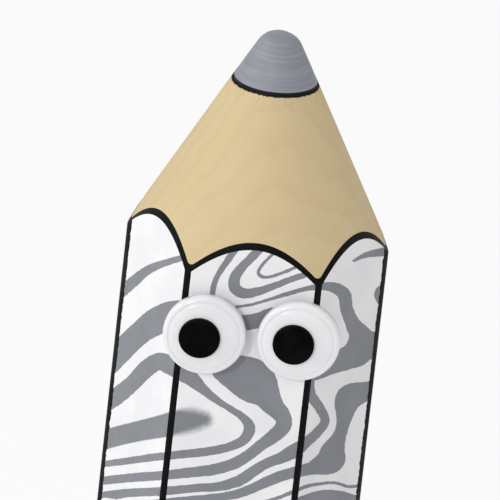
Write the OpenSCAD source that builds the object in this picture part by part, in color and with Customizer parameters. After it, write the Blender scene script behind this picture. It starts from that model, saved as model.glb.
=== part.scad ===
// Stub of a thick hexagonal pencil, standing on its cut end with the point up.
// The casing is two cedar slats glued round a graphite lead, wrapped in a printed film
// and sharpened to a blunt cone. Two domed craft eyes are stuck on the front flat.
// Millimetres. The origin is the middle of the cut end, +Z runs up the lead to the tip,
// and the front flat, which carries the eyes, faces -Y.

/* [Barrel] */
// Height from the cut end to the rounded tip of the lead
stub_length = 35.8; // [28:0.1:120]
// Distance across two opposite flats, over the film
across_flats = 10; // [8:0.1:14]
// Radius of the six long edges, over the film
ridge_radius = 0.5; // [0.3:0.05:0.9]
// Thickness of the printed film
film_thickness = 0.16; // [0.08:0.02:0.24]
// Bare wood left below the film at the cut end
film_setback = 0.25; // [0.1:0.05:1]

/* [Point] */
// Angle of the sharpened cone, from side to side
point_angle = 55; // [40:1:80]
// Diameter of the lead
lead_diameter = 3.7; // [2.8:0.1:5]
// Radius of the blunt tip of the lead
tip_radius = 1.1; // [0.3:0.05:1.3]
// Glue line between the lead and its groove
glue_gap = 0.02; // [0.01:0.01:0.05]

/* [Eyes] */
// Diameter of each domed disc
eye_diameter = 3.6; // [3:0.1:4.6]
// Height of the straight part of the disc's rim
eye_rim_height = 0.3; // [0.2:0.05:0.6]
// Radius that rounds the rim over into the dome
eye_rim_radius = 0.2; // [0.1:0.05:0.3]
// Rise of the dome above the start of its rounded rim
eye_crown = 0.45; // [0.4:0.05:0.9]
// Gap between the two discs
eye_gap = 0.45; // [0.2:0.05:1.5]
// Distance from the lowest point of the film's cut edge down to the middle of the pair
eye_drop = 2.45; // [2.3:0.05:8]
// How far the pair sits to the right of the middle of the flat
eye_shift = 0.2; // [0:0.05:0.5]
// How much higher the right disc sits than the left one
eye_stagger = 0.18; // [0:0.02:0.4]

/* [Pupils] */
// Diameter of each pupil
pupil_diameter = 1.8; // [1:0.1:2.4]
// Thickness of each pupil, which follows the dome
pupil_thickness = 0.2; // [0.1:0.05:0.4]
// How far each pupil sits to the left of the middle of its disc
pupil_left = 0.2; // [0:0.05:0.4]
// How far each pupil sits below the middle of its disc
pupil_down = 0; // [0:0.05:0.4]

/* [Adhesive pads] */
// Diameter of the foam pad behind each disc
pad_diameter = 1.8; // [1:0.1:2]
// Thickness of the foam pad
pad_thickness = 0.3; // [0.2:0.05:0.6]
// Least distance from a pad to the rounded edge of the flat
pad_margin = 0.1; // [0:0.05:0.3]

/* [Hidden] */
$fn = 96;

SIDES = 6;
SIDE_ANGLE = 360 / SIDES;
RIDGE_STEPS = 5;
LEFT = -1;
RIGHT = 1;

half_angle = point_angle / 2;
lead_radius = lead_diameter / 2;
bore_radius = lead_radius + glue_gap;

// The cone that the sharpener leaves would come to a point here, above the blunt tip.
sharp_height = stub_length - tip_radius + tip_radius / sin(half_angle);
tip_centre = stub_length - tip_radius;
// Where the round tip runs into the straight side of the cone.
tip_join = [tip_radius * cos(half_angle), tip_centre + tip_radius * sin(half_angle)];

// Distance from the axis to a rounded ridge, over the film, and the height at which the
// cone cuts the ridge, which is the low point between two arches of the film's edge.
ridge_reach = (across_flats / 2 - ridge_radius) / cos(SIDE_ANGLE / 2) + ridge_radius;
film_low_point = sharp_height - ridge_reach / tan(half_angle);

// The wood inside the film.
wood_flats = across_flats - 2 * film_thickness;
wood_ridge_radius = ridge_radius - film_thickness;

// Half the flat strip between two rounded ridges, over the film.
flat_half_width = (across_flats / 2 - ridge_radius) * tan(SIDE_ANGLE / 2);
pad_reach = flat_half_width - pad_margin - pad_diameter / 2;

eye_radius = eye_diameter / 2;
eye_spacing = eye_diameter + eye_gap;
// The dome is the cap of a ball whose edge meets the top of the rounded rim.
dome_base_radius = eye_radius - eye_rim_radius;
dome_rise = eye_crown - eye_rim_radius;
dome_radius = (pow(dome_base_radius, 2) + pow(dome_rise, 2)) / (2 * dome_rise);
dome_top = eye_rim_height + eye_crown;
dome_centre = dome_top - dome_radius;

// Height at which a cone this wide has the radius r.
function cone_height(r) = sharp_height - r / tan(half_angle);
function eye_x(side) = eye_shift + side * eye_spacing / 2;
function eye_z(side) = film_low_point - eye_drop + side * eye_stagger / 2;
// A pad lies behind its disc, moved in where needed so that all of it is on the flat.
function pad_x(side) = side * min(abs(eye_x(side)), pad_reach);

// A hexagon with rounded corners, two of them on the X axis. Each corner is an odd number
// of short flats, so that the glue plane runs through the middle of one.
module rounded_hexagon(flats, r) {
    corner = (flats / 2 - r) / cos(SIDE_ANGLE / 2);
    polygon([
        for (i = [0 : SIDES - 1], step = [0 : RIDGE_STEPS])
            let (
                at = i * SIDE_ANGLE,
                out = at + (step / RIDGE_STEPS - 0.5) * SIDE_ANGLE
            )
                corner * [cos(at), sin(at)] + r * [cos(out), sin(out)]
    ]);
}

// What the sharpener leaves: everything below its cone.
module sharpened() {
    reach = across_flats;
    intersection() {
        children();
        rotate_extrude()
            polygon([
                [0, -1],
                [reach, -1],
                [reach, cone_height(reach)],
                [0, sharp_height]
            ]);
    }
}

// The wood of both slats, with the bore that their two grooves make.
module casing() {
    difference() {
        sharpened() {
            linear_extrude(sharp_height)
                rounded_hexagon(wood_flats, wood_ridge_radius);
        }
        translate([0, 0, -1])
            cylinder(r = bore_radius, h = sharp_height + 2);
    }
}

// One slat is the half of the casing on one side of the glue plane, y = 0.
module slat(side) {
    size = 2 * across_flats;
    color("burlywood")
        intersection() {
            casing();
            translate([-size / 2, side == LEFT ? -size : 0, -1])
                cube([size, size, sharp_height + 2]);
        }
}

// The lead, with its cone and blunt tip, as one turned profile.
module graphite_lead() {
    color("slategray")
        rotate_extrude()
            union() {
                polygon([
                    [0, 0],
                    [lead_radius, 0],
                    [lead_radius, cone_height(lead_radius)],
                    tip_join,
                    [0, tip_centre]
                ]);
                intersection() {
                    translate([0, tip_centre])
                        circle(r = tip_radius);
                    translate([0, tip_centre])
                        square([tip_radius, tip_radius]);
                }
            }
}

// The printed film, cut by the sharpener into six arches.
module marbled_film() {
    color("gainsboro")
        sharpened()
            translate([0, 0, film_setback])
                linear_extrude(sharp_height - film_setback)
                    difference() {
                        rounded_hexagon(across_flats, ridge_radius);
                        rounded_hexagon(wood_flats, wood_ridge_radius);
                    }
}

// Turns what is built on the XY plane to stand out from the front flat at x and z,
// lifted off the film by the given height.
module on_front_flat(x, z, lift) {
    translate([x, -across_flats / 2 - lift, z])
        rotate([90, 0, 0])
            children();
}

module eye_pad(side) {
    color("whitesmoke")
        on_front_flat(pad_x(side), eye_z(side), 0)
            cylinder(d = pad_diameter, h = pad_thickness);
}

// Half the section of a disc: a straight rim, a rounded shoulder and a low dome.
module eye_section() {
    shoulder = eye_rim_height + eye_rim_radius;
    square([eye_radius, eye_rim_height]);
    square([dome_base_radius, shoulder]);
    translate([dome_base_radius, eye_rim_height])
        intersection() {
            circle(r = eye_rim_radius);
            square(eye_rim_radius);
        }
    intersection() {
        translate([0, dome_centre])
            circle(r = dome_radius);
        translate([0, shoulder])
            square([dome_base_radius, dome_rise]);
    }
}

module eye_disc(side) {
    color("white")
        on_front_flat(eye_x(side), eye_z(side), pad_thickness)
            rotate_extrude()
                eye_section();
}

// A pupil is a disc that lies on the dome and has its curve on both faces.
module pupil(side) {
    color("black")
        on_front_flat(eye_x(side), eye_z(side), pad_thickness)
            intersection() {
                translate([-pupil_left, -pupil_down, 0])
                    cylinder(d = pupil_diameter, h = dome_top + pupil_thickness);
                translate([0, 0, dome_centre])
                    difference() {
                        sphere(r = dome_radius + pupil_thickness);
                        sphere(r = dome_radius);
                    }
            }
}

graphite_lead();
slat(LEFT);  // slat_front
slat(RIGHT);  // slat_back
marbled_film();
eye_pad(LEFT);  // eye_pad_left
eye_pad(RIGHT);  // eye_pad_right
eye_disc(LEFT);  // eye_disc_left
eye_disc(RIGHT);  // eye_disc_right
pupil(LEFT);  // pupil_left
pupil(RIGHT);  // pupil_right
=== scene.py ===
# %% [markdown]
# # A pencil stub
# This is the stub of a thick hexagonal pencil, standing on its cut end. It is a sandwich: a
# graphite lead between two glued cedar slats, wrapped in a printed film and sharpened to a cone.
# Two domed craft eyes are stuck on the front flat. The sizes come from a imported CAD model, which
# the script loads first as a fixed frame. Every piece is modelled over that frame, in the same
# place and at the same size, so only the looks are added.

# %% Load the frame
import math

import bmesh
import bpy
import numpy as np
from mathutils import Matrix, Vector, noise


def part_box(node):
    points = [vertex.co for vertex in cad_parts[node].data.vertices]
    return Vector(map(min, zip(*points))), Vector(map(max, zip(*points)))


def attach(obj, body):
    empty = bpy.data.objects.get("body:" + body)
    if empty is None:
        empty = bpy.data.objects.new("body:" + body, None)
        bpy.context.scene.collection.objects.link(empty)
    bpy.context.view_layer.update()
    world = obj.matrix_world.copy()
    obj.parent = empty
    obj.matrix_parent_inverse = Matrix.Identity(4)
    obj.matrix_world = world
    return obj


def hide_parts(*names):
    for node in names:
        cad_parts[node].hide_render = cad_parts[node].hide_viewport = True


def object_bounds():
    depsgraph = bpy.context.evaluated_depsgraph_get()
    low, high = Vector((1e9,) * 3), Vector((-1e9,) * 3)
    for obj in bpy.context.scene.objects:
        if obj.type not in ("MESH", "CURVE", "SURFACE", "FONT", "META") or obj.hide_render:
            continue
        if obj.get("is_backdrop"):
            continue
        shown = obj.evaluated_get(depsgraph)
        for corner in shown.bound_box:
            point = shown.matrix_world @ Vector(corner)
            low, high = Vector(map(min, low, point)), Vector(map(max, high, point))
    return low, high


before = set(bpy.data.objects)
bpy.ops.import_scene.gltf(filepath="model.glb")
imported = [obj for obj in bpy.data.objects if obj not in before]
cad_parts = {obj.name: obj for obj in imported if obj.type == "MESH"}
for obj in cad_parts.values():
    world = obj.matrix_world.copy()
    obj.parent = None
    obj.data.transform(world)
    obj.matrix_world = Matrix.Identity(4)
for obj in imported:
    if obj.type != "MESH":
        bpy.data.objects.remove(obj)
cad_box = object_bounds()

print("CAD box in mm:", [[round(c * 1000, 2) for c in corner] for corner in cad_box])

# %% [markdown]
# ## Sizes
# A pencil is small, and Blender's mesh tools merge or drop very short edges. So each piece is
# modelled in millimetres and shrunk to metres as its last step. The sizes are read from the boxes
# of the CAD nodes and not typed in again, so a piece can't drift away from the part that it
# stands for. Only what a box doesn't show is named here: the angle of the sharpener's cone, the
# rounding of the ridges, and how near the middle a hexagon's flat is, as a share of its corner.

# %% Read the pencil's sizes
MM = 1000.0
POINT_HALF_ANGLE = math.radians(27.5)
RIDGE_RADIUS = 0.5
SIXTH = math.radians(60)
HEX_CORNER = math.cos(SIXTH / 2)


def node_box_mm(node):
    low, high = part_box(node)
    return low * MM, high * MM


lead_high, slat_high = node_box_mm("graphite_lead")[1], node_box_mm("slat_back")[1]
film_low, film_high = node_box_mm("marbled_film")
stub_length, lead_radius = lead_high.z, lead_high.x
flat, wood_flat = film_high.y, slat_high.y
film_thickness, film_setback = flat - wood_flat, film_low.z
sharp_height = film_high.z + wood_flat / math.tan(POINT_HALF_ANGLE)
ridge_reach = (flat - RIDGE_RADIUS) / HEX_CORNER + RIDGE_RADIUS


def cone_height(radius):
    return sharp_height - radius / math.tan(POINT_HALF_ANGLE)


film_low_point = cone_height(ridge_reach)
print(f"flats {2 * flat:.2f}, length {stub_length:.2f}, lead {2 * lead_radius:.2f} across")
print(f"film {film_thickness:.2f} thick, lowest point of its cut edge at {film_low_point:.2f}")

# %% [markdown]
# ## Finishing a piece
# Every piece ends in the same steps, so they make one helper. Its normals are made consistent, it
# is shrunk to metres, edges sharper than a given angle stay crisp, it rides on the frame, and it
# hides the CAD node that it stands for. Its object stays at the origin, unturned, because the
# place is in the mesh.

# %% Finish a piece
def finish_piece(bm, name, material, replaced=(), sharp_degrees=40):
    bmesh.ops.recalc_face_normals(bm, faces=bm.faces[:])
    bmesh.ops.scale(bm, vec=Vector((1, 1, 1)) / MM, verts=bm.verts[:])
    mesh = bpy.data.meshes.new(name)
    bm.to_mesh(mesh)
    bm.free()
    piece = bpy.data.objects.new(name, mesh)
    bpy.context.scene.collection.objects.link(piece)
    mesh.shade_smooth()
    mesh.set_sharp_from_angle(angle=math.radians(sharp_degrees))
    mesh.materials.append(material)
    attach(piece, "root")
    if replaced:
        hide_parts(*replaced)
    print(f"{name}: {len(mesh.vertices)} vertices, {len(mesh.polygons)} faces")


# %% [markdown]
# ## Shader nodes in a few words
# A material can be wired by hand in the node editor. In a script the same wiring reads best when
# one helper adds a node and plugs its inputs, and a few more name the jobs that come up again: a
# sum, a smooth fade between two values, a blend of two colours, a noise and a mottled colour.

# %% Wire up shader nodes
def add(tree, kind, inputs=None, **settings):
    made = tree.nodes.new("ShaderNode" + kind)
    for setting, value in settings.items():
        setattr(made, setting, value)
    for socket, value in (inputs or {}).items():
        if isinstance(value, bpy.types.NodeSocket):
            tree.links.new(value, made.inputs[socket])
        else:
            made.inputs[socket].default_value = value
    return made


def calc(tree, operation, *values, clamp=False):
    inputs = dict(enumerate(values))
    return add(tree, "Math", inputs, operation=operation, use_clamp=clamp).outputs[0]


def fade(tree, value, start, end, low=0.0, high=1.0):
    inputs = {"Value": value, "From Min": start, "From Max": end, "To Min": low, "To Max": high}
    return add(tree, "MapRange", inputs, interpolation_type="SMOOTHSTEP").outputs["Result"]


def blend(tree, share, first, second):
    made = add(tree, "Mix", data_type="RGBA")
    sockets = {"Factor_Float": share, "A_Color": first, "B_Color": second}
    by_id = {socket.identifier: socket for socket in made.inputs}
    for name, value in sockets.items():
        if isinstance(value, bpy.types.NodeSocket):
            tree.links.new(value, by_id[name])
        else:
            by_id[name].default_value = (*value, 1)
    return next(socket for socket in made.outputs if socket.identifier == "Result_Color")


def noise_at(tree, place, scale, detail=2.0, rough=0.5):
    inputs = {"Vector": place, "Scale": scale, "Detail": detail, "Roughness": rough}
    return add(tree, "TexNoise", inputs).outputs["Fac"]


def mottled(tree, pattern, start, end, first, second, most=1.0):
    return blend(tree, fade(tree, pattern, start, end, 0.0, most), first, second)


# %% [markdown]
# ## Materials in millimetres
# Grain, pores and scuffs have real sizes. So each material reads the Object coordinates, which
# stick to the piece, and turns them into millimetres. A noise of scale 4 then has about four
# blobs to the millimetre, and stretched along one axis its blobs become fibres. Relief comes from
# bump nodes, chained one after the other, each with its depth in millimetres and its strength.

# %% Start a material that works in millimetres
def new_material(name, roughness, specular=0.5):
    material = bpy.data.materials.new(name)
    material.use_nodes = True
    tree = material.node_tree
    shader = tree.nodes["Principled BSDF"]
    shader.inputs["Roughness"].default_value = roughness
    shader.inputs["Specular IOR Level"].default_value = specular
    coordinates = add(tree, "TexCoord").outputs["Object"]
    place = add(tree, "Mapping", {"Vector": coordinates, "Scale": (MM, MM, MM)}).outputs[0]
    return material, tree, shader, place


def stretched(tree, place, x, y, z):
    return add(tree, "Mapping", {"Vector": place, "Scale": (x, y, z)}).outputs[0]


def parts_of(tree, place):
    return add(tree, "SeparateXYZ", {0: place}).outputs


def from_axis(tree, place, axis_x=0.0, axis_y=0.0):
    parts = parts_of(tree, place)
    across_x = calc(tree, "POWER", calc(tree, "ADD", parts["X"], -axis_x), 2.0)
    across_y = calc(tree, "POWER", calc(tree, "ADD", parts["Y"], -axis_y), 2.0)
    return calc(tree, "SQRT", calc(tree, "ADD", across_x, across_y))


def bump(tree, shader, height, distance_mm, strength):
    inputs = {"Height": height, "Distance": distance_mm / MM, "Strength": strength}
    normal = shader.inputs["Normal"]
    if normal.is_linked:
        inputs["Normal"] = normal.links[0].from_socket
    tree.links.new(add(tree, "Bump", inputs).outputs[0], normal)


# %% [markdown]
# ## The hexagon
# A pencil blank is a hexagon whose six long edges are a little rounded. Its outline could be
# typed in as points, but a six-sided circle with bevelled corners gives the same shape exactly.
# The flats are then cut, the front one, the two beside it and the three behind each as finely as
# they need, because the print on the film takes many points to hold its pattern.

# %% Make the outline of the blank
CORNER_STEPS = 6
SHORTEST_FLAT = 2.0
LEVEL = 0.01


def hexagon_outline(flat_distance, corner_radius, cuts):
    bm = bmesh.new()
    bmesh.ops.create_circle(bm, cap_ends=True, segments=6, radius=flat_distance / HEX_CORNER)
    turn = Matrix.Rotation(SIXTH / 2, 3, "Z")
    bmesh.ops.rotate(bm, cent=(0, 0, 0), matrix=turn, verts=bm.verts[:])
    bmesh.ops.bevel(
        bm, geom=bm.verts[:], offset=corner_radius * math.tan(SIXTH / 2), offset_type="OFFSET",
        segments=CORNER_STEPS, profile=0.5, affect="VERTICES", material=-1, clamp_overlap=True,
    )
    inner = [edge for edge in bm.edges if not edge.is_boundary]
    bmesh.ops.delete(bm, geom=inner, context="EDGES")
    bmesh.ops.delete(bm, geom=bm.faces[:], context="FACES_ONLY")
    flats = [edge for edge in bm.edges if edge.calc_length() > SHORTEST_FLAT]
    middles = {edge: sum(v.co.y for v in edge.verts) / 2 for edge in flats}
    front_y = min(middles.values()) + LEVEL
    front = [edge for edge in flats if middles[edge] < front_y]
    sides = [edge for edge in flats if front_y < middles[edge] < 0]
    backs = [edge for edge in flats if middles[edge] > 0]
    for edges, count in zip((front, sides, backs), cuts):
        bmesh.ops.subdivide_edges(bm, edges=edges, cuts=count)
    return bm


trial = hexagon_outline(flat, RIDGE_RADIUS, (60, 40, 20))
reach = max(v.co.xy.length for v in trial.verts)
print(f"outline: {len(trial.verts)} points, reach {reach:.3f}, expected {ridge_reach:.3f}")
trial.free()

# %% [markdown]
# ## Raising a wall
# A wall is the outline pulled straight up and cut into rows. The rows are first evenly spaced
# between 0 and 1, and each point is then lifted to its real height. That height differs round the
# outline, because the sharpener's cone meets the ridges lower than the flats, and this is what
# gives a sharpened hexagon its scallops. Open loops at either end are then pulled on in steps.

# %% Pull an outline up into rows
def raise_wall(bm, rows, height_of_row):
    made = bmesh.ops.extrude_edge_only(bm, edges=bm.edges[:])["geom"]
    upper = [item for item in made if isinstance(item, bmesh.types.BMVert)]
    bmesh.ops.translate(bm, vec=(0, 0, 1), verts=upper)
    uprights = [e for e in bm.edges if abs(e.verts[0].co.z - e.verts[1].co.z) > 0.5]
    bmesh.ops.subdivide_edges(bm, edges=uprights, cuts=rows - 1, use_grid_fill=True)
    for v in bm.verts:
        v.co.z = height_of_row(v.co.z, v.co.xy.length)


trial = hexagon_outline(flat, RIDGE_RADIUS, (9, 9, 9))
raise_wall(trial, 2, lambda row, reach: row * cone_height(reach))
tops = [v.co.z for v in trial.verts if v.co.z > stub_length / 2]
print(f"trial wall: {len(trial.faces)} faces, top from {min(tops):.2f} to {max(tops):.2f}")
trial.free()

# %% Find an open loop and pull it on
FOOT_BELOW = 1.0


def top_loop(bm):
    open_edges = [e for e in bm.edges if e.is_boundary]
    middle = sum(e.verts[0].co.z for e in open_edges) / len(open_edges)
    return [e for e in open_edges if min(v.co.z for v in e.verts) > middle]


def foot_loop(bm):
    return [e for e in bm.edges if e.is_boundary and e.verts[0].co.z < FOOT_BELOW]


def pull_loop(bm, loop, place):
    made = bmesh.ops.extrude_edge_only(bm, edges=loop)["geom"]
    for v in (item for item in made if isinstance(item, bmesh.types.BMVert)):
        v.co = place(v.co)
    return [e for e in made if isinstance(e, bmesh.types.BMEdge)]


# %% [markdown]
# ## Cedar
# Bare cedar shows on the cone and at the cut end: warm, pale tan, with growth rings cut at a
# slant and fine pores along the length. A picture of wood would stretch over a cone. Real rings
# are shells round the middle of the tree, so here they are worked out in space from a far-off
# axis, and the cone cuts through them as the blade did. Each slat has an axis of its own,
# because the two come from different boards.

# %% Grow the cedar
LATE_WOOD, FIBRE = (0.54, 0.39, 0.20), (0.58, 0.44, 0.25)
PORE, PALE_PATCH = (0.42, 0.28, 0.13), (0.76, 0.63, 0.41)
RINGS_PER_MM, RING_WANDER = 1.15, 1.6


def cedar_figure(tree, place, end_grain, heart, board):
    wander = noise_at(tree, stretched(tree, place, 0.5, 0.5, 0.06), 1.0, 3)
    shell = calc(tree, "MULTIPLY_ADD", wander, RING_WANDER, from_axis(tree, place, *heart))
    late_wood = fade(tree, calc(tree, "FRACT", calc(tree, "MULTIPLY", shell, RINGS_PER_MM)), 0.45, 0.97)
    fibres = noise_at(tree, stretched(tree, place, 34, 34, 0.8), 1.0, 4, 0.7)
    pores = noise_at(tree, stretched(tree, place, 24, 24, 1.5), 1.0, 3, 0.6)
    # rings and pores stand out more on the sawn end than along the grain
    ring_share = calc(tree, "MULTIPLY_ADD", end_grain, 0.4, 0.15)
    pore_share = calc(tree, "MULTIPLY_ADD", end_grain, 0.3, 0.16)
    colour = blend(tree, calc(tree, "MULTIPLY", late_wood, ring_share), board, LATE_WOOD)
    colour = mottled(tree, fibres, 0.35, 0.7, colour, FIBRE, 0.2)
    pore_share = calc(tree, "MULTIPLY", fade(tree, pores, 0.55, 0.8), pore_share)
    colour = blend(tree, pore_share, colour, PORE)
    colour = mottled(tree, noise_at(tree, place, 0.35, 2), 0.35, 0.75, colour, PALE_PATCH, 0.15)
    return colour, late_wood, fibres


# %% [markdown]
# ## Marks on the wood
# A saw leaves slanting marks on the cut end, and a sharpener leaves faint rings on the cone. Both
# are wave textures: bands, bent a little so that they don't look ruled. Dark graphite dust is
# dragged off the lead and stains the wood next to it, in a ring with a speckled edge.

# %% Saw the end and stain the wood
SAWN, SMEAR, STAIN_BLACK = (0.46, 0.33, 0.17), (0.2, 0.18, 0.15), (0.004, 0.004, 0.004)
STAIN_REACH, STAIN_REACH_AT_END = 0.06, 0.015


def waves(tree, place, direction, scale, bend, detail, detail_scale):
    inputs = {
        "Vector": place, "Scale": scale, "Distortion": bend, "Detail": detail,
        "Detail Scale": detail_scale,
    }
    return add(tree, "TexWave", inputs, bands_direction=direction).outputs["Fac"]


def graphite_stain(tree, place, end_grain, colour):
    radius = from_axis(tree, place)
    specks = noise_at(tree, place, 7, 3, 0.7)
    near_lead = fade(tree, radius, lead_radius + 0.6, lead_radius + 0.1, 0.0, 0.22)
    smear = calc(tree, "MULTIPLY", near_lead, fade(tree, specks, 0.5, 0.72))
    colour = blend(tree, smear, colour, SMEAR)
    less = STAIN_REACH_AT_END - STAIN_REACH
    reach = calc(tree, "MULTIPLY_ADD", end_grain, less, STAIN_REACH)
    edge = calc(tree, "ADD", radius, fade(tree, specks, 0.3, 0.7, -0.012, 0.012))
    edge = calc(tree, "SUBTRACT", edge, reach)
    stain = fade(tree, edge, lead_radius + 0.01, lead_radius - 0.01)
    return blend(tree, stain, colour, STAIN_BLACK)


def cedar_material(name, heart, board):
    material, tree, shader, place = new_material(name, 0.7, 0.15)
    # the sawn face is the lowest few hundredths of a millimetre
    end_grain = fade(tree, parts_of(tree, place)["Z"], 0.04, 0.02)
    colour, late_wood, fibres = cedar_figure(tree, place, end_grain, heart, board)
    saw = waves(tree, place, "DIAGONAL", 0.9, 2.5, 3.0, 1.2)
    sawn = calc(tree, "MULTIPLY", end_grain, fade(tree, saw, 0.2, 0.9, 0.0, 0.3))
    colour = graphite_stain(tree, place, end_grain, blend(tree, sawn, colour, SAWN))
    tree.links.new(colour, shader.inputs["Base Color"])
    bump(tree, shader, waves(tree, place, "Z", 1.1, 1.2, 2.0, 1.5), 0.012, 0.4)
    bump(tree, shader, fibres, 0.012, 0.5)
    bump(tree, shader, calc(tree, "MULTIPLY", saw, end_grain), 0.05, 0.6)
    bump(tree, shader, late_wood, 0.01, 0.4)
    print(f"{name}: {len(tree.nodes)} nodes")
    return material


cedar_front = cedar_material("cedar_front", (-9, 26), (0.69, 0.55, 0.32))
cedar_back = cedar_material("cedar_back", (17, -21), (0.67, 0.52, 0.30))

# %% [markdown]
# ## Two slats of cedar
# A pencil's casing is two grooved slats, glued with the lead between them. Each could be modelled
# alone, but then the two might not meet. So the casing is made once as one closed tube: an outer
# wall, the sharpened cone, the bore and the cut end. It is cut along the glue line with
# bisect_plane, the open faces are filled, and their rims are eased a little, so that the joint
# shows as the fine line that a real glue line is.

# %% Model the casing
CASING_CUTS, CASING_ROWS, CONE_STEPS = (48, 48, 48), 20, 40
GLUE_LINE = 0.02
bore_radius = lead_radius + GLUE_LINE


def casing_tube():
    bm = hexagon_outline(wood_flat, RIDGE_RADIUS - film_thickness, CASING_CUTS)
    raise_wall(bm, CASING_ROWS, lambda row, reach: row * cone_height(reach))
    cone_loop = top_loop(bm)
    for steps_left in range(CONE_STEPS, 0, -1):

        def onto_cone(co):
            reach = co.xy.length + (bore_radius - co.xy.length) / steps_left
            return Vector((*(co.xy.normalized() * reach), cone_height(reach)))

        cone_loop = pull_loop(bm, cone_loop, onto_cone)

    def onto_bore(co):
        return Vector((*(co.xy.normalized() * bore_radius), 0))

    end_loop = pull_loop(bm, foot_loop(bm), onto_bore)
    bmesh.ops.bridge_loops(bm, edges=cone_loop + end_loop)
    bmesh.ops.recalc_face_normals(bm, faces=bm.faces[:])
    return bm


# %% Cut the casing into slats
RIM_EASE = 0.03


def make_slat(name, side, material, node):
    bm = casing_tube()
    bmesh.ops.bisect_plane(
        bm, geom=bm.verts[:] + bm.edges[:] + bm.faces[:], dist=1e-5, plane_co=(0, 0, 0),
        plane_no=(0, side, 0), clear_inner=True,
    )
    cut = [e for e in bm.edges if e.is_boundary]
    filled = bmesh.ops.holes_fill(bm, edges=cut, sides=0)["faces"]
    rim = {e for face in filled for e in face.edges}
    bmesh.ops.bevel(
        bm, geom=list(rim), offset=RIM_EASE, offset_type="OFFSET", segments=1, profile=0.5,
        affect="EDGES", material=-1, clamp_overlap=True,
    )
    bmesh.ops.remove_doubles(bm, verts=bm.verts[:], dist=1e-4)
    print(name, "glued faces:", len(filled), "open edges:", sum(e.is_boundary for e in bm.edges))
    finish_piece(bm, name, material, [node], sharp_degrees=35)


make_slat("front_slat", -1, cedar_front, "slat_front")
make_slat("back_slat", 1, cedar_back, "slat_back")

# %% [markdown]
# ## Graphite
# Lead is graphite and clay, fired hard: mid grey, with the dull shine of metal where paper has
# rubbed it. The sharpener leaves fine rings on the cone, and a saw leaves scratches on the end.
# Full metal would look like steel, so it is only slightly metallic and fairly rough, and the
# noise that colours the rings also raises them. On the cone, its edge is black with dust.

# %% Mix the graphite
GRAPHITE_DARK, GRAPHITE_PALE, GRIT = (0.265, 0.277, 0.308), (0.315, 0.33, 0.362), (0.15, 0.155, 0.17)
CUT_END_BELOW = 1.0


def graphite_material():
    material, tree, shader, place = new_material("graphite", 0.5, 0.2)
    shader.inputs["Metallic"].default_value = 0.15
    height = parts_of(tree, place)["Z"]
    rings = noise_at(tree, stretched(tree, place, 0.25, 0.25, 9), 1.0, 3, 0.6)
    grit = noise_at(tree, place, 16, 3, 0.6)
    colour = mottled(tree, rings, 0.35, 0.7, GRAPHITE_DARK, GRAPHITE_PALE)
    colour = mottled(tree, grit, 0.60, 0.72, colour, GRIT, 0.35)
    edge = fade(tree, from_axis(tree, place), lead_radius - 0.055, lead_radius - 0.035)
    edge = calc(tree, "MULTIPLY", edge, calc(tree, "GREATER_THAN", height, CUT_END_BELOW))
    tree.links.new(blend(tree, edge, colour, STAIN_BLACK), shader.inputs["Base Color"])
    rubbed = fade(tree, noise_at(tree, place, 1.1, 3), 0.35, 0.7, 0.66, 0.54)
    tree.links.new(rubbed, shader.inputs["Roughness"])
    bump(tree, shader, rings, 0.012, 0.6)
    bump(tree, shader, grit, 0.006, 0.6)
    scratches = noise_at(tree, stretched(tree, place, 0.8, 9, 1), 1.0, 3, 0.6)
    sawn = calc(tree, "MULTIPLY", scratches, fade(tree, height, 0.06, 0.03))
    bump(tree, shader, sawn, 0.05, 0.8)
    print(f"graphite: {len(tree.nodes)} nodes")
    return material


# %% [markdown]
# ## The lead
# The lead is a rod with a conical end and a blunt, round tip. It could be a cylinder with its top
# edited, but a line of points turned once round the axis with spin gives rod, cone and tip in one
# closed skin. The blunt end is then worn unevenly with a soft noise, so that it isn't a perfect
# ball.

# %% Turn the lead
TIP_RADIUS = 1.1
SHOULDER_IN, SHOULDER_DROP = 0.02, 0.25
LEAD_STEPS, CONE_POINTS, TIP_POINTS = 128, 24, 16
WORN_IN, WORN_DOWN, WORN_ZONE, WORN_ABOVE = 0.012, 0.10, 1.2, 0.2


def turned_piece(profile, steps):
    bm = bmesh.new()
    points = [bm.verts.new((reach, 0, height)) for reach, height in profile]
    for first, second in zip(points, points[1:]):
        bm.edges.new((first, second))
    bmesh.ops.spin(
        bm, geom=bm.verts[:] + bm.edges[:], cent=(0, 0, 0), axis=(0, 0, 1),
        angle=math.tau, steps=steps, use_merge=True,
    )
    bmesh.ops.remove_doubles(bm, verts=bm.verts[:], dist=1e-5)
    return bm


def lead_profile():
    shoulder, tip_centre = cone_height(lead_radius) - SHOULDER_DROP, stub_length - TIP_RADIUS
    profile = [(0, 0), (lead_radius, 0), (lead_radius, shoulder)]
    cone_end = TIP_RADIUS * math.cos(POINT_HALF_ANGLE)
    for reach in np.linspace(lead_radius - SHOULDER_IN, cone_end, CONE_POINTS):
        profile.append((reach, cone_height(reach)))
    for angle in np.linspace(POINT_HALF_ANGLE, math.pi / 2, TIP_POINTS)[1:]:
        reach = max(TIP_RADIUS * math.cos(angle), 0)
        profile.append((reach, tip_centre + TIP_RADIUS * math.sin(angle)))
    return profile


lead_bm = turned_piece(lead_profile(), LEAD_STEPS)
for v in lead_bm.verts:
    if v.co.z > cone_height(lead_radius) + WORN_ABOVE:
        worn = 0.5 + 0.5 * noise.noise(v.co * 1.3)
        near_top = max(0.0, (v.co.z - stub_length + WORN_ZONE) / WORN_ZONE)
        v.co.xy *= 1 - WORN_IN * worn
        v.co.z -= WORN_DOWN * near_top * worn
print(f"worn tip at {max(v.co.z for v in lead_bm.verts):.3f} of {stub_length:.3f}")
finish_piece(lead_bm, "lead", graphite_material(), ["graphite_lead"])

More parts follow.
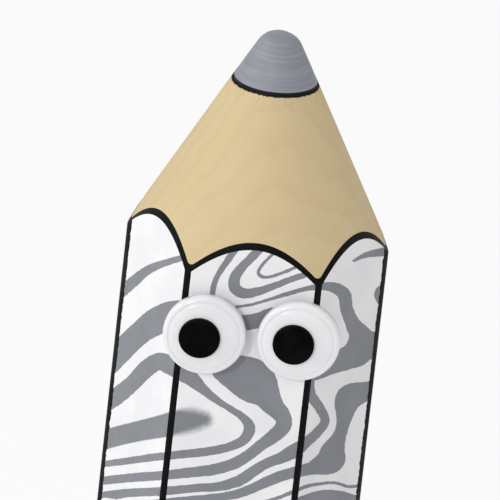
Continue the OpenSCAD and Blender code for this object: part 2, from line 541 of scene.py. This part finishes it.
# %% [markdown]
# ## The film
# A printed film is wrapped round the blank over a black base coat, and the sharpener cuts it into
# scallops. A Solidify modifier could thicken a single wall, but the cut edge has to lie on the
# sharpener's cone. So the outer wall is raised, its two open ends are pulled inwards by the film's
# thickness, and the inner loops are bridged. The upper part, where the print is laid out point by
# point, has fine rows. Lower down the pattern is made in the material, and a few coarse rows do.

# %% Model the film
FILM_CUTS = (114, 66, 8)
COARSE_ROWS, FINE_ROWS, FINE_FROM = 10, 290, 13.0


def film_height(row, reach):
    rows = COARSE_ROWS + FINE_ROWS
    coarse = COARSE_ROWS / rows
    if row < coarse:
        return film_setback + (FINE_FROM - film_setback) * row / coarse
    return FINE_FROM + (cone_height(reach) - FINE_FROM) * (row - coarse) / (1 - coarse)


def sixth_turn(count):
    return Vector((math.cos(count * SIXTH), math.sin(count * SIXTH), 0))


def under_print(co, on_cone):
    turn = math.atan2(co.y, co.x) / SIXTH
    side, ridge = sixth_turn(round(turn - 0.5) + 0.5), sixth_turn(round(turn))
    bend = ridge * (flat - RIDGE_RADIUS) / HEX_CORNER
    from_bend = Vector((*(co - bend).xy, 0)).normalized()
    inward = from_bend if from_bend.dot(ridge) > HEX_CORNER else side
    moved = co - inward * film_thickness
    moved.z = cone_height(moved.xy.length) if on_cone else co.z
    return moved


film_bm = hexagon_outline(flat, RIDGE_RADIUS, FILM_CUTS)
raise_wall(film_bm, COARSE_ROWS + FINE_ROWS, film_height)
cut_loop = pull_loop(film_bm, top_loop(film_bm), lambda co: under_print(co, True))
low_loop = pull_loop(film_bm, foot_loop(film_bm), lambda co: under_print(co, False))
bmesh.ops.bridge_loops(film_bm, edges=cut_loop + low_loop)
print("film's open edges:", sum(e.is_boundary for e in film_bm.edges))

# %% [markdown]
# ## Laying out the marbling
# Marbled print is ink combed into ribbons: they swell, thin out, turn back on themselves and nest.
# A noise alone gives waves but not these particular ribbons, and an image would blur up close.
# So each grey ribbon is a line of points in millimetres: how far right of the middle of the front
# flat, how far down from the lowest point of the scallops, and how wide it is there. Down is
# measured as it looks from 21.5 degrees above. A ribbon may run over a ridge.
# One ribbon, under the right flat's scallop, is painted shade and not ink.

# %% Lay out the grey bands
GREY_BANDS = [
    # left flat: a thin arc, and a broad sweep that runs behind both discs
    [(-6, 1.55, .55), (-5.3, .82, .5), (-4.6, .12, .4), (-3.9, -.28, .3), (-3.2, -.58, .26),
     (-2.6, -.8, .22)],
    [(-6.2, 4.8, 1), (-5.3, 3.65, 1), (-4.6, 2.82, 1), (-3.9, 2.22, 1.2), (-3, 1.85, 1.25),
     (-1.8, 1.9, .8), (-.6, 1.93, .7), (.3, 1.75, .66), (1.2, 1.37, .65), (2.6, 1.4, .4)],
    # second sweep, which dips under the left disc and turns back on itself
    [(-6.2, 6.4, .8), (-5.3, 5.66, .75), (-4.68, 5.02, .7), (-4.15, 4.33, .75), (-3.65, 3.96, .75),
     (-3.1, 4.08, .82), (-2.3, 4.44, .72), (-1.6, 4.94, .44), (-1, 5.32, .32), (-.4, 5.62, .28),
     (.2, 5.93, .34), (.55, 6.35, .5), (.37, 6.9, .45), (-.3, 7.32, .38), (-1.2, 7.6, .38),
     (-2.2, 7.83, .36), (-3.4, 8.1, .33), (-4.6, 8.44, .3), (-6.2, 8.86, .26)],
    # large field under the discs, which narrows and runs down to the left
    [(-.85, 4, 1), (-.25, 4.08, 1.55), (.47, 4.33, 1.88), (.96, 4.7, 1.36), (1.42, 5.25, .92),
     (1.92, 5.72, .73), (1.98, 6.14, .68), (1.63, 6.6, .6), (1.12, 7.07, .5), (.68, 7.51, .48),
     (.1, 7.96, .5), (-.8, 8.34, .48), (-1.8, 8.58, .44), (-3, 8.85, .4), (-4.4, 9.15, .38),
     (-6.2, 9.6, .35)],
    # ribbon round the right ridge, then down to the left
    [(2.9, 3.9, .4), (3, 4.6, .45), (3.43, 5.13, .42), (3.77, 5.7, .4), (3.51, 6.22, .42),
     (3.04, 6.73, .47), (2.6, 7.13, .62), (2.05, 7.5, .5), (1.45, 7.82, .44), (.92, 8.23, .48),
     (.35, 8.7, .48), (-.5, 9.05, .4), (-1.5, 9.23, .36), (-3, 9.55, .38), (-4.6, 9.85, .36),
     (-6.2, 10.3, .36)],
    # fine line that swells into the wavy band of the right flat
    [(-1.2, 1.46, .12), (-.7, 1.27, .12), (.1, 1.04, .12), (.8, .75, .14), (1.5, .44, .18),
     (2.2, .16, .2), (2.9, -.04, .3), (3.5, -.06, .46), (3.97, .2, .58), (4.14, .76, .56),
     (4.5, 1.43, .66), (4.93, 1.98, 1.02), (4.9, 2.56, 1.2), (4.4, 2.92, 1), (3.8, 3.32, .7),
     (3.2, 3.73, .5)],
    [(4.9, 2.26, 1.1), (5.4, 2.24, 1.2), (6.2, 2.34, 1.4)],
    # nested hairpins at the top of the front flat
    [(.3, -1.6, .38), (-.06, -1.1, .38), (-.5, -.55, .38), (-.78, -.05, .47), (-.75, .42, .5),
     (-.32, .62, .44), (.3, .45, .36), (.9, .17, .3), (1.5, -.15, .27), (2.1, -.43, .26),
     (2.7, -.7, .2)],
    [(.9, -1.38, .13), (.55, -1, .13), (.27, -.62, .13), (.18, -.33, .15), (.36, -.19, .15),
     (.66, -.2, .14), (1, -.34, .14), (1.45, -.57, .14), (1.9, -.83, .14)],
    [(-.87, -1.3, .3), (-1.14, -.8, .29), (-1.43, -.25, .25), (-1.64, .3, .24), (-1.68, .8, .25),
     (-1.75, 1.4, .3)],
    # right flat, lower half
    [(6.2, 4.08, .9), (5.4, 4.28, .86), (4.69, 4.64, 1.14), (4.6, 5.3, .78), (4.55, 5.94, .56),
     (4.41, 6.5, .68), (4.25, 7.04, 1.06), (4.18, 7.41, 1.18), (3.5, 7.78, .62), (2.8, 8.03, .5),
     (2.1, 8.31, .48), (1.5, 8.64, .46), (.9, 9, .42), (.2, 9.33, .38), (-.9, 9.6, .33),
     (-3, 10.03, .3), (-6.2, 10.8, .3)],
    [(6.2, 8.22, .16), (5.6, 8.4, .14), (5.1, 8.47, .13), (4.5, 8.36, .13), (3.9, 8.45, .14),
     (3.3, 8.62, .16), (2.7, 8.93, .18), (2, 9.3, .15), (1, 9.67, .15), (-.5, 10, .15)],
    [(6.2, 9.1, .2), (5.4, 8.95, .3), (4.7, 8.93, .5), (4, 9.05, .64), (3.3, 9.36, .7),
     (2.2, 9.86, .62), (0, 10.5, .5)],
    # what shows of the print at the far right, then painted shade under the right flat's scallop
    [(5.95, -.44, .3), (5.52, -.14, .4), (5.55, .2, .4), (5.95, .66, .3)],
    [(4.2, -1.3, .1), (4.8, -1.64, .26), (5.6, -1.84, .4), (6.3, -1.84, .4)],
]
SMUDGE = [
    (-6.2, 7.9, .85), (-5.2, 7.45, .85), (-4.2, 7.07, .88), (-3.2, 6.72, .98), (-2.5, 6.45, 1.05),
    (-1.9, 6.3, .92), (-1.4, 6.22, .6),
]
print(f"{len(GREY_BANDS)} ribbons with {sum(map(len, GREY_BANDS))} points, and one smudge")

# %% [markdown]
# ## How deep a point lies in a ribbon
# The print could be kept as a colour at each point, but its edges would then be as coarse as the
# mesh. So each point keeps a depth: how far it lies inside a ribbon, above zero in grey and below
# it in white. The material draws the edge between the inks where the depth crosses zero, and an
# edge drawn like that stays crisp between the points. A smooth curve runs through each ribbon's
# points, and where two ribbons meet, they melt together as wet ink does.

# %% Measure the depth in a ribbon
OUTSIDE = -9.0
LINE_STEPS = 6
MELT = 0.08


def smooth_line(points):
    ends = [points[0], *points, points[-1]]
    for a, b, c, d in zip(ends, ends[1:], ends[2:], ends[3:]):
        a, b, c, d = (np.array(point, float) for point in (a, b, c, d))
        square, cube = 2 * a - 5 * b + 4 * c - d, 3 * b - a - 3 * c + d
        for t in np.arange(LINE_STEPS) / LINE_STEPS:
            yield 0.5 * (2 * b + (c - a) * t + square * t ** 2 + cube * t ** 3)
    yield np.array(points[-1], float)


def depth_in_band(band, across, down):
    deepest = np.full(across.shape, OUTSIDE)
    line = list(smooth_line(band))
    for (x, y, wide), (next_x, next_y, next_wide) in zip(line, line[1:]):
        run, fall = next_x - x, next_y - y
        share = ((across - x) * run + (down - y) * fall) / (run ** 2 + fall ** 2 + 1e-12)
        share = np.clip(share, 0, 1)
        away = np.hypot(across - x - share * run, down - y - share * fall)
        deepest = np.maximum(deepest, (wide + (next_wide - wide) * share) / 2 - away)
    return deepest


def depth_in_any(bands, across, down):
    deepest = np.full(across.shape, OUTSIDE)
    for band in bands:
        depth = depth_in_band(band, across, down)
        share = np.clip(0.5 + 0.5 * (depth - deepest) / MELT, 0, 1)
        deepest = deepest + (depth - deepest) * share + MELT * share * (1 - share)
    return deepest


x, y, wide = GREY_BANDS[0][2]
middle_depth = depth_in_band(GREY_BANDS[0], np.array([x]), np.array([y]))[0]
print(f"where it is {wide:.2f} wide, the first ribbon is {middle_depth:.2f} deep in its middle")

# %% [markdown]
# ## Writing the print onto the film
# A vertex colour or a UV map could carry the print to the material. Three float attributes on the
# film's points are simpler, and they ride with the mesh: the depth in the grey ribbons, the depth
# in the smudge, and how far the print has passed from the listed ribbons into a pattern that
# flows by itself, which covers the back and the lower barrel. The smudge is a soft grey band,
# whose right end fades out softly.

# %% Write the print onto the film
VIEW_SLANT = math.radians(21.5)
DEPTH_KEPT, SMUDGE_KEPT = 0.4, 3.0
CRISP_EDGE, SOFTER_EDGE = 0.03, 0.2


def between(value, start, end):
    share = np.clip((value - start) / (end - start), 0, 1)
    return share * share * (3 - 2 * share)


places = np.array([v.co for v in film_bm.verts])
across, behind = places[:, 0], places[:, 1] + flat
down = (film_low_point - places[:, 2]) * math.cos(VIEW_SLANT) - behind * math.sin(VIEW_SLANT)
flow_share = np.maximum(between(places[:, 1], -0.2, 1.0), between(down, 9.8, 10.8))
by_hand = flow_share < 1
depth = np.full(len(places), OUTSIDE)
depth[by_hand] = depth_in_any(GREY_BANDS, across[by_hand], down[by_hand])
depth = np.clip(depth, -DEPTH_KEPT, DEPTH_KEPT)
softness = CRISP_EDGE + SOFTER_EDGE * between(across, -3.2, -1.9)
smudged = np.clip(depth_in_band(SMUDGE, across, down), -1, 1) / softness
smudged = np.clip(smudged, -SMUDGE_KEPT, SMUDGE_KEPT) * (1 - flow_share) - SMUDGE_KEPT * flow_share
ink = film_bm.verts.layers.float.new("ink")
smudge = film_bm.verts.layers.float.new("smudge")
flowing = film_bm.verts.layers.float.new("flowing")
for v, ink_depth, smudge_depth, share in zip(film_bm.verts, depth, smudged, flow_share):
    v[ink], v[smudge], v[flowing] = float(ink_depth), float(smudge_depth), float(share)
print(f"grey covers {100 * (depth[by_hand] > 0).mean():.0f}% of the part laid out by hand")

# %% [markdown]
# ## Marbling that flows by itself
# Round the back and down the barrel the same kind of print runs on. Laying it out by hand would
# take hundreds of points that nobody looks at one by one. Here the material makes it: a sine wave
# in height gives level ribbons, two slow noises bend them over and under, and a third one swells
# and thins them. It answers with a depth, like the listed ribbons, so the two can pass
# into each other.

# %% Flow the marbling round the rest of the film
RIBBON_STEP, RIBBON_SLOPE, RIBBON_DEPTH = 1.45, -0.2, 0.19
LONG_BENDS, SHORT_BENDS = 15.0, 1.9


def flowing_depth(tree, place):
    slow = noise_at(tree, stretched(tree, place, 0.10, 0.10, 0.06), 1.0, 1)
    quick = noise_at(tree, stretched(tree, place, 0.3, 0.3, 0.16), 1.0, 1)
    swell = noise_at(tree, stretched(tree, place, 0.17, 0.17, 0.26), 1.0, 1)
    parts = parts_of(tree, place)
    height = calc(tree, "MULTIPLY_ADD", parts["X"], RIBBON_SLOPE, parts["Z"])
    height = calc(tree, "MULTIPLY_ADD", slow, LONG_BENDS, height)
    height = calc(tree, "MULTIPLY_ADD", quick, SHORT_BENDS, height)
    wave = calc(tree, "SINE", calc(tree, "MULTIPLY", height, math.tau / RIBBON_STEP))
    wave = calc(tree, "ADD", wave, fade(tree, swell, 0.3, 0.7, -0.8, 0.75))
    return calc(tree, "MULTIPLY", wave, RIBBON_DEPTH)


# %% [markdown]
# ## The inks
# The film is printed in a cool white and a blue-grey, both a little cloudy, as thin ink is. The
# three attributes come in through Attribute nodes. The depth becomes a share of grey with a very
# short fade, which keeps the edge crisp but not jagged, and a fine noise is added to the depth
# first, because real ink creeps a little at its edge. The smudge gets crumbs in the same way.

# %% Print the inks
WHITE, WHITE_CLOUD = (0.86, 0.85, 0.87), (0.92, 0.915, 0.925)
GREY, GREY_CLOUD = (0.228, 0.24, 0.262), (0.258, 0.268, 0.292)
INK_FADE, INK_CREEP, SMUDGE_CRUMBS = 0.012, 0.01, 0.16


def attribute(tree, name):
    return add(tree, "Attribute", attribute_name=name).outputs["Fac"]


def printed_inks(tree, place):
    ink = attribute(tree, "ink")
    change = calc(tree, "SUBTRACT", flowing_depth(tree, place), ink)
    ink = calc(tree, "MULTIPLY_ADD", attribute(tree, "flowing"), change, ink)
    creep = fade(tree, noise_at(tree, place, 4, 2), 0.3, 0.7, -INK_CREEP, INK_CREEP)
    grey_share = fade(tree, calc(tree, "ADD", ink, creep), -INK_FADE, INK_FADE)
    crumbs = noise_at(tree, place, 5, 4, 0.6)
    crumbs = fade(tree, crumbs, 0.3, 0.7, -SMUDGE_CRUMBS, SMUDGE_CRUMBS)
    smudge_share = fade(tree, calc(tree, "ADD", attribute(tree, "smudge"), crumbs), -1, 1)
    clouds = noise_at(tree, place, 0.55, 3)
    white = mottled(tree, clouds, 0.35, 0.7, WHITE, WHITE_CLOUD)
    grey = mottled(tree, clouds, 0.3, 0.7, GREY, GREY_CLOUD)
    return blend(tree, calc(tree, "MAXIMUM", grey_share, smudge_share), white, grey)


# %% [markdown]
# ## Worn ridges
# Hands and tables rub a pencil along its ridges, so the print is worn off there and the black base
# coat shows, with chipped edges. The two side ridges are worn widest, on their front, where the
# fingers hold. The wear could be painted, but a hexagon gives the distance to a ridge by itself.
# Measured square to its three pairs of flats, the two largest distances are equal on a ridge, and
# their difference grows with the distance to it. The film's cut edge is black too.

# %% Wear the ridges down to the base coat
CUT_EDGE_DEPTH = 0.012


def flats_and_ridge(tree, parts):
    distances = []
    for degrees in (30, 90, 150):
        along_x = calc(tree, "MULTIPLY", parts["X"], math.cos(math.radians(degrees)))
        along_y = calc(tree, "MULTIPLY", parts["Y"], math.sin(math.radians(degrees)))
        distances.append(calc(tree, "ABSOLUTE", calc(tree, "ADD", along_x, along_y)))
    larger = calc(tree, "MAXIMUM", distances[0], distances[1])
    smaller = calc(tree, "MINIMUM", distances[0], distances[1])
    largest = calc(tree, "MAXIMUM", larger, distances[2])
    second = calc(tree, "MAXIMUM", smaller, calc(tree, "MINIMUM", larger, distances[2]))
    return largest, calc(tree, "DIVIDE", calc(tree, "SUBTRACT", largest, second), HEX_CORNER)


def bare_base_coat(tree, place):
    parts = parts_of(tree, place)
    to_flat, to_ridge = flats_and_ridge(tree, parts)
    chips = noise_at(tree, stretched(tree, place, 6, 6, 3.5), 1.0, 4, 0.65)
    limit = fade(tree, chips, 0.3, 0.7, 0.12, 0.2)
    wander = fade(tree, noise_at(tree, place, 0.6, 2), 0.3, 0.7, -0.02, 0.02)
    side_ridge = fade(tree, calc(tree, "ABSOLUTE", parts["Y"]), 1.6, 1.2)
    gripped = fade(tree, parts["Y"], 0.12, -0.12, 0.05, 0.4)
    limit = calc(tree, "MULTIPLY_ADD", side_ridge, gripped, calc(tree, "ADD", limit, wander))
    worn = calc(tree, "LESS_THAN", to_ridge, limit)
    cut = calc(tree, "LESS_THAN", to_flat, flat - CUT_EDGE_DEPTH)
    return calc(tree, "MAXIMUM", worn, cut)


# %% [markdown]
# ## The film's finish
# The print has a satin gloss, with scuffs that dull it. Bare base coat is duller still, and it lies
# lower, so the print is raised with a bump, to catch the light along its chipped edges.

# %% Finish the film
BASE_BLACK, BASE_DUST = (0.001, 0.001, 0.001), (0.006, 0.0055, 0.006)
SATIN, SCUFFED, BARE_DULLER = 0.30, 0.42, 0.22


def film_material():
    material, tree, shader, place = new_material("marbled_film", SATIN, 0.09)
    bare = bare_base_coat(tree, place)
    soot = noise_at(tree, place, 9, 3, 0.6)
    black = mottled(tree, soot, 0.45, 0.75, BASE_BLACK, BASE_DUST)
    colour = blend(tree, bare, printed_inks(tree, place), black)
    tree.links.new(colour, shader.inputs["Base Color"])
    scuffs = noise_at(tree, stretched(tree, place, 2, 2, 0.6), 1.0, 3)
    gloss = fade(tree, scuffs, 0.35, 0.7, SATIN, SCUFFED)
    gloss = calc(tree, "MULTIPLY_ADD", bare, BARE_DULLER, gloss)
    tree.links.new(gloss, shader.inputs["Roughness"])
    bump(tree, shader, calc(tree, "SUBTRACT", 1.0, bare), 0.02, 0.8)
    bump(tree, shader, soot, 0.004, 0.4)
    print(f"marbled_film: {len(tree.nodes)} nodes")
    return material


finish_piece(film_bm, "film", film_material(), ["marbled_film"], sharp_degrees=30)

# %% [markdown]
# ## Foam pads
# Each disc is held by a round pad of white adhesive foam. Only its edge shows, and it bulges there,
# because the foam is pressed between the disc and the flat. A cylinder would show a hard, flat
# edge, so the pad is turned from a profile with a wider middle. The bubbles of the foam are the
# cells of a Voronoi texture. The pad is turned upright, then laid over to face the front, with its
# back where the back of its node is.

# %% Turn the pads
# the darker foam colour is painted shade, in the hollow middle of each bubble
FOAM_HOLLOW_SHADE, FOAM_PALE = (0.62, 0.61, 0.58), (0.80, 0.79, 0.76)
FOAM_BULGE, BULGE_FROM, BULGE_TO, PAD_STEPS = 0.02, 0.1, 0.2, 48


def round_node(node):
    low, high = node_box_mm(node)
    back = Vector(((low.x + high.x) / 2, high.y, (low.z + high.z) / 2))
    return (high.x - low.x) / 2, high.y - low.y, back


def face_front(bm, back):
    lay_over = Matrix.Rotation(math.radians(90), 3, "X")
    bmesh.ops.rotate(bm, cent=(0, 0, 0), matrix=lay_over, verts=bm.verts[:])
    bmesh.ops.translate(bm, vec=back, verts=bm.verts[:])


def foam_material():
    material, tree, shader, place = new_material("pad_foam", 0.85)
    cells = add(tree, "TexVoronoi", {"Vector": place, "Scale": 9.0}).outputs["Distance"]
    # each bubble is painted darker in its hollow middle, where the bump is lowest: painted shade
    colour = mottled(tree, cells, 0.1, 0.6, FOAM_HOLLOW_SHADE, FOAM_PALE)
    tree.links.new(colour, shader.inputs["Base Color"])
    bump(tree, shader, cells, 0.03, 0.8)
    return material


foam = foam_material()
for side in ("left", "right"):
    radius, depth, back = round_node("eye_pad_" + side)
    waist = radius - FOAM_BULGE
    profile = [(0, 0), (waist, 0), (radius, BULGE_FROM), (radius, BULGE_TO), (waist, depth), (0, depth)]
    pad_bm = turned_piece(profile, PAD_STEPS)
    face_front(pad_bm, back)
    finish_piece(pad_bm, "pad_" + side, foam, ["eye_pad_" + side])

# %% [markdown]
# ## Domed discs
# The discs are moulded in glossy white plastic: a straight rim with a rounded shoulder, a shallow
# groove, and a low dome. A squashed sphere would have no rim, so a disc is turned from a profile.
# The dome is part of a large ball, whose radius follows from how wide and how high the dome is.
# The plastic is a little cloudy, and handling has dulled its gloss in patches.

# %% Shape a disc
RIM_HEIGHT, RIM_ROUND, RIM_FOOT = 0.3, 0.2, 0.05
GROOVE_DEPTH, GROOVE_STEP, DISC_STEPS = 0.02, 0.03, 128


def disc_profile(radius, depth):
    base, shoulder = radius - RIM_ROUND, RIM_HEIGHT + RIM_ROUND
    rise = depth - shoulder
    ball = (base ** 2 + rise ** 2) / (2 * rise)
    profile = [(0, 0), (radius - RIM_FOOT, 0), (radius, RIM_FOOT), (radius, RIM_HEIGHT)]
    for angle in np.linspace(0, math.pi / 2, 10)[1:]:
        reach = base + RIM_ROUND * math.cos(angle)
        profile.append((reach, RIM_HEIGHT + RIM_ROUND * math.sin(angle)))
    for steps in (1, 2):
        profile.append((base - steps * GROOVE_STEP, shoulder - GROOVE_DEPTH))
    for reach in np.linspace(base - 3 * GROOVE_STEP, 0, 28):
        profile.append((reach, depth - ball + math.sqrt(ball ** 2 - reach ** 2)))
    return profile, ball


# %% Turn the discs
DISC_WHITE, DISC_CLOUD = (0.84, 0.825, 0.85), (0.88, 0.865, 0.885)


def moulded_plastic(name, colours, cloud_scale, handling_scale, gloss, specular):
    material, tree, shader, place = new_material(name, gloss[0], specular)
    colour = mottled(tree, noise_at(tree, place, cloud_scale, 2), 0.3, 0.7, *colours)
    tree.links.new(colour, shader.inputs["Base Color"])
    handling = noise_at(tree, place, handling_scale, 4, 0.6)
    tree.links.new(fade(tree, handling, 0.35, 0.75, *gloss), shader.inputs["Roughness"])
    return material


plastic = moulded_plastic("disc_white", (DISC_WHITE, DISC_CLOUD), 0.9, 3.5, (0.17, 0.25), 0.5)
discs = {}
for side in ("left", "right"):
    radius, depth, back = round_node("eye_disc_" + side)
    profile, ball = disc_profile(radius, depth)
    disc_bm = turned_piece(profile, DISC_STEPS)
    face_front(disc_bm, back)
    finish_piece(disc_bm, "disc_" + side, plastic, ["eye_disc_" + side], 60)
    discs[side] = back, depth, ball
    print(f"disc {side}: radius {radius:.2f}, dome ball radius {ball:.2f}")

# %% [markdown]
# ## Pupils
# A pupil is a plain round black dot of plastic, pressed to the dome's curve. A Shrinkwrap modifier
# could lay it there, but the dome is part of a known ball. So the dot is turned flat, with a
# rounded edge and rings of points across its top, and each point is then lifted by the height of
# the ball below it. The plastic is black, with faint clouds and patches of worn gloss.

# %% Press the pupils onto the domes
PUPIL_BLACK, PUPIL_CLOUD = (0.001, 0.001, 0.001), (0.004, 0.003, 0.004)
PUPIL_THICK, PUPIL_ROUND, PUPIL_STEPS = 0.2, 0.07, 96


def pupil_profile(radius):
    flat_top, edge_foot = radius - PUPIL_ROUND, PUPIL_THICK - PUPIL_ROUND
    profile = [(0, 0), (radius, 0), (radius, edge_foot)]
    for angle in np.linspace(0, math.pi / 2, 6)[1:]:
        reach = flat_top + PUPIL_ROUND * math.cos(angle)
        profile.append((reach, edge_foot + PUPIL_ROUND * math.sin(angle)))
    return profile + [(reach, PUPIL_THICK) for reach in np.linspace(flat_top, 0, 10)[1:]]


black = moulded_plastic("pupil_black", (PUPIL_BLACK, PUPIL_CLOUD), 1.5, 4, (0.18, 0.34), 0.03)
for side in ("left", "right"):
    radius, _, pupil_back = round_node("pupil_" + side)
    disc_back, depth, ball = discs[side]
    pupil_bm = turned_piece(pupil_profile(radius), PUPIL_STEPS)
    off_centre = pupil_back - disc_back
    for v in pupil_bm.verts:
        x, y = v.co.x + off_centre.x, v.co.y + off_centre.z
        dome = depth - ball + math.sqrt(ball ** 2 - x ** 2 - y ** 2)
        v.co = Vector((x, y, v.co.z + dome))
    face_front(pupil_bm, disc_back)
    finish_piece(pupil_bm, "dot_" + side, black, ["pupil_" + side], 50)

# %% [markdown]
# ## Stage
# The stub stands on a plain, pale floor that keeps its shadow. A floor lit to pure white would need
# so much light that the white discs would burn out. So to the camera the floor glows a little by
# itself, and to the lamps it is plain matt paint. Light Path tells the two apart. Mirror-like
# and see-through rays see it as the camera does.

# %% Build the stage
STAGE_RADIUS, STAGE_GLOW = 1.6, 0.83
MATT_WHITE, PURE_WHITE = (0.93, 0.93, 0.93, 1), (1, 1, 1, 1)


def seen_directly(tree):
    rays = add(tree, "LightPath").outputs
    direct = calc(tree, "ADD", rays["Is Camera Ray"], rays["Is Glossy Ray"], clamp=True)
    return calc(tree, "ADD", direct, rays["Is Transmission Ray"], clamp=True)


def stage_material():
    material = bpy.data.materials.new("stage")
    material.use_nodes = True
    tree = material.node_tree
    tree.nodes.clear()
    share = calc(tree, "MULTIPLY", seen_directly(tree), STAGE_GLOW)
    matt = add(tree, "BsdfDiffuse", {"Color": MATT_WHITE}).outputs[0]
    glow = add(tree, "Emission", {"Color": PURE_WHITE, "Strength": 1.0}).outputs[0]
    mixed = add(tree, "MixShader", {0: share, 1: matt, 2: glow}).outputs[0]
    add(tree, "OutputMaterial", {"Surface": mixed})
    return material


floor_bm = bmesh.new()
bmesh.ops.create_circle(floor_bm, cap_ends=True, segments=96, radius=STAGE_RADIUS)
floor_mesh = bpy.data.meshes.new("floor")
floor_bm.to_mesh(floor_mesh)
floor_bm.free()
floor_mesh.materials.append(stage_material())
floor = bpy.data.objects.new("floor", floor_mesh)
bpy.context.scene.collection.objects.link(floor)
floor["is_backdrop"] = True
print(f"floor: {2 * STAGE_RADIUS:.1f} m across")

# %% [markdown]
# ## Light
# The world is white where the camera or a reflection sees it, but it lights the stub with less
# than that, just enough to fill its shadows. One lamp stands out at the left and lights the left
# flat most, then the front, then the right, which shows the hexagon. A smaller one nearer the
# front makes the narrow shadows beside the discs. A point of light would make them hard.

# %% Light the stub
FILL = 0.67


def light_the_world():
    world = bpy.data.worlds.new("studio")
    bpy.context.scene.world = world
    world.use_nodes = True
    tree = world.node_tree
    tree.nodes.clear()
    strength = fade(tree, seen_directly(tree), 0.0, 1.0, FILL, 1.0)
    sky = add(tree, "Background", {"Color": PURE_WHITE, "Strength": strength}).outputs[0]
    add(tree, "OutputWorld", {"Surface": sky})


def soft_lamp(name, place, aim_height, watts, size):
    data = bpy.data.lights.new(name, "AREA")
    data.shape, data.size, data.energy = "DISK", size, watts
    lamp = bpy.data.objects.new(name, data)
    lamp.location = place
    lamp.rotation_mode = "QUATERNION"
    towards = Vector((0, 0, aim_height)) - Vector(place)
    lamp.rotation_quaternion = towards.to_track_quat("-Z", "Y")
    bpy.context.scene.collection.objects.link(lamp)
    print(f"{name}: {towards.length * MM:.0f} mm away, {watts} W, {size * MM:.0f} mm across")


light_the_world()
soft_lamp("side_lamp", (-0.215, -0.018, 0.151), 0.02, 0.125, 0.06)
soft_lamp("front_lamp", (-0.090, -0.200, 0.115), 0.024, 0.11, 0.025)

# %% [markdown]
# ## Camera
# The camera looks down at the sharpened end, from the front. It has a very long lens and stands
# far off, so parallel edges stay nearly parallel, and it is rolled a few degrees, so that the
# stub, which stands straight, leans in the picture. Its place follows from the width of the view:
# a lens that is longer than its sensor by some factor stands that factor of widths away.

# %% Place the camera
LEAN = math.radians(6.4)
VIEW_WIDTH = 0.02165
LENS, SENSOR = 1200, 36
AIM_LEFT, AIM_BELOW = 0.281, 0.567

camera_data = bpy.data.cameras.new("camera")
camera_data.lens, camera_data.sensor_width = LENS, SENSOR
camera_data.clip_start, camera_data.clip_end = 0.01, 10
camera = bpy.data.objects.new("camera", camera_data)
bpy.context.scene.collection.objects.link(camera)
forward = Vector((0, math.cos(VIEW_SLANT), -math.sin(VIEW_SLANT)))
level = Vector((1, 0, 0))
right = level * math.cos(LEAN) + level.cross(forward) * math.sin(LEAN)
upward = right.cross(forward)
aim = Vector((-AIM_LEFT, 0, film_low_point - AIM_BELOW / math.cos(VIEW_SLANT))) / MM
distance = VIEW_WIDTH * LENS / SENSOR
facing = Matrix((right, upward, -forward)).transposed().to_4x4()
camera.matrix_world = Matrix.Translation(aim - forward * distance) @ facing
bpy.context.scene.camera = camera
bpy.context.scene.view_settings.view_transform = "Standard"
print(f"camera {distance * MM:.0f} mm away, view {VIEW_WIDTH * MM:.1f} mm wide")

# %% [markdown]
# ## Measure the size and finish
# The finer pieces may add looks but no size, so the finished model is measured once more. Its box
# should stay inside the box of the CAD model, and both are printed, axis by axis. Its box
# has to stay inside the box of the CAD model, and both are written down to be compared.

# %% Write the sizes and finish
shown_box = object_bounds()
for axis, low_cad, high_cad, low_new, high_new in zip("XYZ", *cad_box, *shown_box):
    print(axis, [round(v * MM, 3) for v in (low_cad, high_cad, low_new, high_new)])
